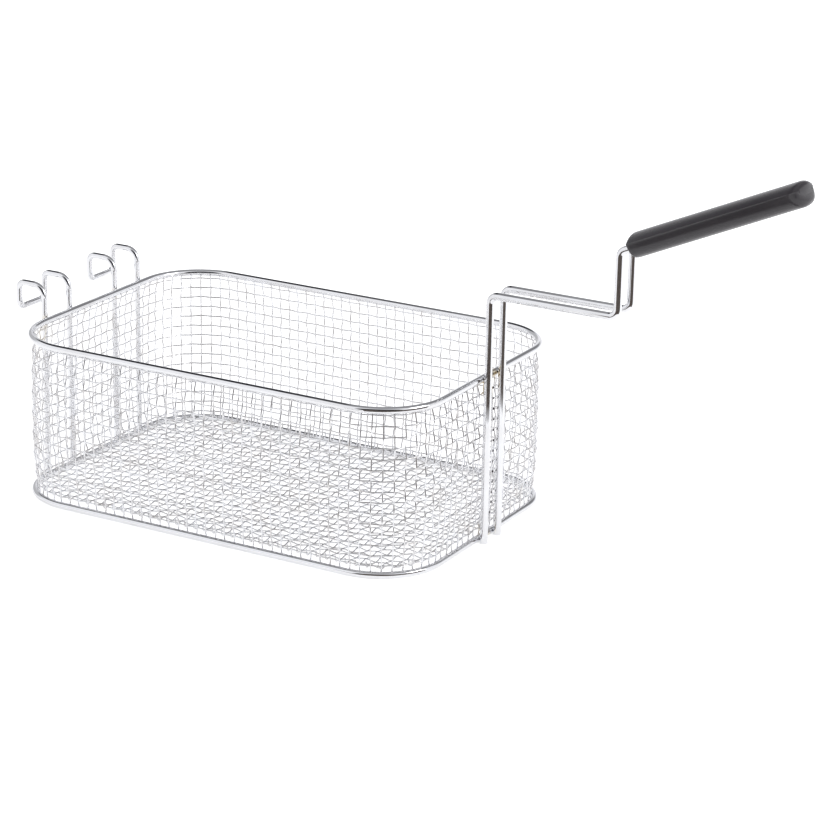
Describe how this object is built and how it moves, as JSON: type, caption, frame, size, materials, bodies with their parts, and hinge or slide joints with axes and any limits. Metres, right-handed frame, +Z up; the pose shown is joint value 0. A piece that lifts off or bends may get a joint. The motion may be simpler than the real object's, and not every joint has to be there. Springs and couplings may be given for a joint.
{
  "type": "deep fryer basket",
  "caption": "Rectangular woven wire fryer basket with two bent wire rims, two hanging hooks and a cranked wire handle with a black moulded grip.",
  "frame": {"origin": "on the surface that the basket stands on, under the middle of the basket", "axes": "+X towards the handle, +Y across the basket, +Z up"},
  "size_m": [0.5271, 0.205, 0.2592],
  "materials": {
    "plated_wire": "polished",
    "mesh_wire": "satin",
    "black_plastic": "matte"
  },
  "bodies": {
    "root": {"top_rim": "plated_wire", "bottom_rim": "plated_wire", "wall_upright_wires": "mesh_wire", "wall_hoop_wires": "mesh_wire", "wall_lap_wires": "mesh_wire", "floor_long_wires": "mesh_wire", "floor_cross_wires": "mesh_wire", "hook_left": "plated_wire", "hook_right": "plated_wire", "handle_wire": "plated_wire", "grip": "black_plastic"}
  },
  "joints": []
}
